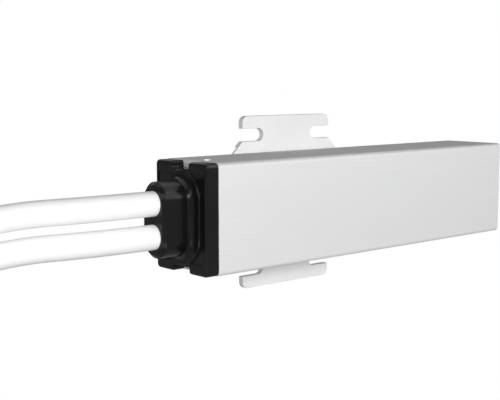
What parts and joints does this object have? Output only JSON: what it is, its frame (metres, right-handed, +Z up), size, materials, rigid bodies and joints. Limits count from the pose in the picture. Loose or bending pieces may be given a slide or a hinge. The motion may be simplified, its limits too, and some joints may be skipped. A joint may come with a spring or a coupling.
{
  "type": "radio receiver",
  "caption": "Slim wall-mounted radio receiver for a shutter motor: an aluminium case that slides on a slotted wall plate, with a black end cap and white cables.",
  "frame": {"origin": "the middle of the wall plate's back face, on the wall", "axes": "+X along the case away from the cables, +Y into the wall, +Z up"},
  "size_m": [0.276, 0.0285, 0.2924],
  "materials": {
    "case_aluminium": "satin anodised",
    "plate_coating": "satin powder coat",
    "cap_black": "fine satin moulding",
    "sleeve_white": "plain moulding",
    "seal_rubber": "soft rubber",
    "shoe_plastic": "acetal",
    "screw_steel": "zinc plated",
    "board_green": "solder mask",
    "terminal_green": "moulded",
    "relay_black": "moulded",
    "glass_tube": "clear",
    "varistor_blue": "dipped epoxy",
    "film_yellow": "moulded",
    "ferrite": "sintered",
    "winding_tape": "tape over the winding",
    "can_sleeve": "shrink sleeve",
    "chip_black": "moulded",
    "tin": "tinned",
    "aerial_wire": "enamelled copper",
    "cable_white": "sheath",
    "core_blue": "insulation",
    "core_brown": "insulation",
    "core_black": "insulation",
    "core_earth": "green with yellow stripe"
  },
  "bodies": {
    "wall_bracket": {"wall_plate": "plate_coating", "slide_shoe": "shoe_plastic", "shoe_screws": "screw_steel"},
    "receiver": {"case_tube": "case_aluminium", "inner_sleeve": "sleeve_white", "cable_end_cap": "cap_black", "cable_seal": "seal_rubber", "cable_clamp": "cap_black", "clamp_screws": "screw_steel", "closing_plug": "cap_black", "plug_seal": "seal_rubber", "circuit_board": "board_green", "mains_terminal": "terminal_green", "motor_terminal": "terminal_green", "terminal_screws": "screw_steel", "fuse": "glass_tube", "fuse_clips": "tin", "varistor": "varistor_blue", "film_capacitor": "film_yellow", "up_relay": "relay_black", "down_relay": "relay_black", "transformer_core": "ferrite", "transformer_bobbin": "winding_tape", "bulk_capacitor": "can_sleeve", "rectifier": "chip_black", "regulator": "chip_black", "microcontroller": "chip_black", "radio_board": "board_green", "radio_shield": "tin", "antenna_wire": "aerial_wire", "mains_cable_tail": "cable_white", "motor_cable_tail": "cable_white", "blue_cores": "core_blue", "brown_cores": "core_brown", "black_cores": "core_black", "earth_cores": "core_earth", "mains_cable": "cable_white", "motor_cable": "cable_white", "mains_lead_cores": "core_brown", "motor_lead_cores": "core_brown", "wire_ferrules": "tin"}
  },
  "joints": [
    {"name": "case_slide", "type": "slide", "parent": "wall_bracket", "child": "receiver", "axis": [1, 0, 0], "range_m": [-0.068, 0.0317]}
  ]
}
